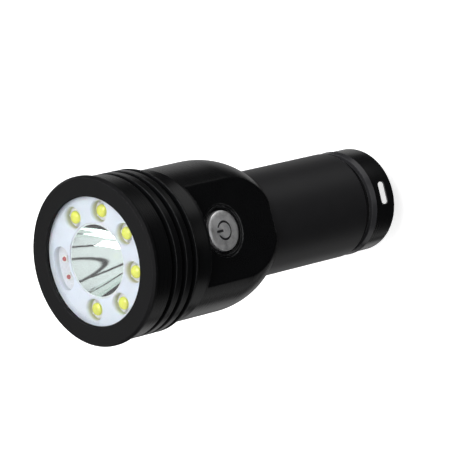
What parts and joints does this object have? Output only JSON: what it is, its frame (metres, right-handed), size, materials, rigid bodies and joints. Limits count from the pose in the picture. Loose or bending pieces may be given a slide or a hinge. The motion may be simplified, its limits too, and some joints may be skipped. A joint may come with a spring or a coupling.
{
  "type": "multi-beam side-switch torch",
  "caption": "Compact black aluminium torch with a ring of flood lamps round a spot reflector, side push button, ribbed head and screw-off tail cap.",
  "frame": {"origin": "centre of the flat tail face, which the torch stands on", "axes": "+Z is the way the beam points, along the torch's axis; the side switch faces -Y; +X is square to both"},
  "size_m": [0.0526, 0.0526, 0.122],
  "materials": {
    "head_black": "glossy black hard anodised aluminium",
    "bezel_black": "satin black anodised aluminium, bead blasted",
    "tube_black": "satin black anodised aluminium",
    "cap_black": "glossy black anodised aluminium",
    "bare_aluminium": "turned bare aluminium",
    "button_steel": "machined stainless steel",
    "steel": "plain steel",
    "icon_dark": "dark enamel filled into the engraved symbol",
    "clear_glass": "clear coated mineral glass",
    "reflector_chrome": "vacuum coated mirror reflector",
    "white_plastic": "white moulded plastic",
    "board_white": "white solder mask on a metal core board",
    "board_green": "green glass fibre circuit board",
    "chip_black": "moulded black epoxy",
    "led_ceramic": "white ceramic lamp carrier",
    "led_phosphor": "clear silicone dome over yellow phosphor",
    "led_red": "red tinted lamp lens",
    "seal_rubber": "black nitrile O-ring",
    "brass": "gold plated brass",
    "wire_red": "silicone wire insulation",
    "wrapper_blue": "heat shrunk plastic sleeve"
  },
  "bodies": {
    "torch": {"front_bezel": "bezel_black", "front_glass": "clear_glass", "glass_seal": "seal_rubber", "bezel_seal": "seal_rubber", "face_plate": "white_plastic", "flood_board": "board_white", "board_screws": "steel", "flood_led_bases": "led_ceramic", "flood_led_domes": "led_phosphor", "red_led_bases": "led_ceramic", "red_led_lenses": "led_red", "spot_reflector": "reflector_chrome", "centring_ring": "white_plastic", "spot_board": "board_white", "spot_screws": "steel", "spot_led_base": "led_ceramic", "spot_led_dome": "led_phosphor", "led_platform": "bare_aluminium", "head_housing": "head_black", "driver_board": "board_green", "driver_chips": "chip_black", "driver_inductor": "chip_black", "driver_ring": "brass", "positive_contact": "brass", "led_wires": "wire_red", "switch_ring": "cap_black", "switch_spring": "steel", "tact_switch": "chip_black", "switch_board": "board_green", "battery_tube": "tube_black", "tube_seals": "seal_rubber"},
    "push_button": {"switch_button": "button_steel", "switch_icon": "icon_dark", "switch_seal": "seal_rubber", "switch_plunger": "chip_black"},
    "battery": {"cell_can": "steel", "cell_wrapper": "wrapper_blue", "cell_insulator": "white_plastic", "cell_top_cap": "steel"},
    "tail": {"tail_cap": "cap_black", "tail_seals": "seal_rubber", "tail_spring": "brass", "tail_contact": "brass"}
  },
  "joints": [
    {"name": "button_press", "type": "slide", "parent": "torch", "child": "push_button", "axis": [0, 1, 0], "range_m": [0, 0.0007], "stiffness_N_per_m": 800, "springref_m": -0.002},
    {"name": "cap_travel", "type": "slide", "parent": "torch", "child": "battery", "axis": [0, 0, -1], "range_m": [0, 0.009]},
    {"name": "cap_turn", "type": "hinge", "parent": "battery", "child": "tail", "pos_m": [0, 0, 0.006], "axis": [0, 0, -1], "range_deg": [0, 2160]}
  ],
  "couplings": [
    {"joint": "cap_turn", "follows": "cap_travel", "rad_per_m": 4188.8}
  ]
}
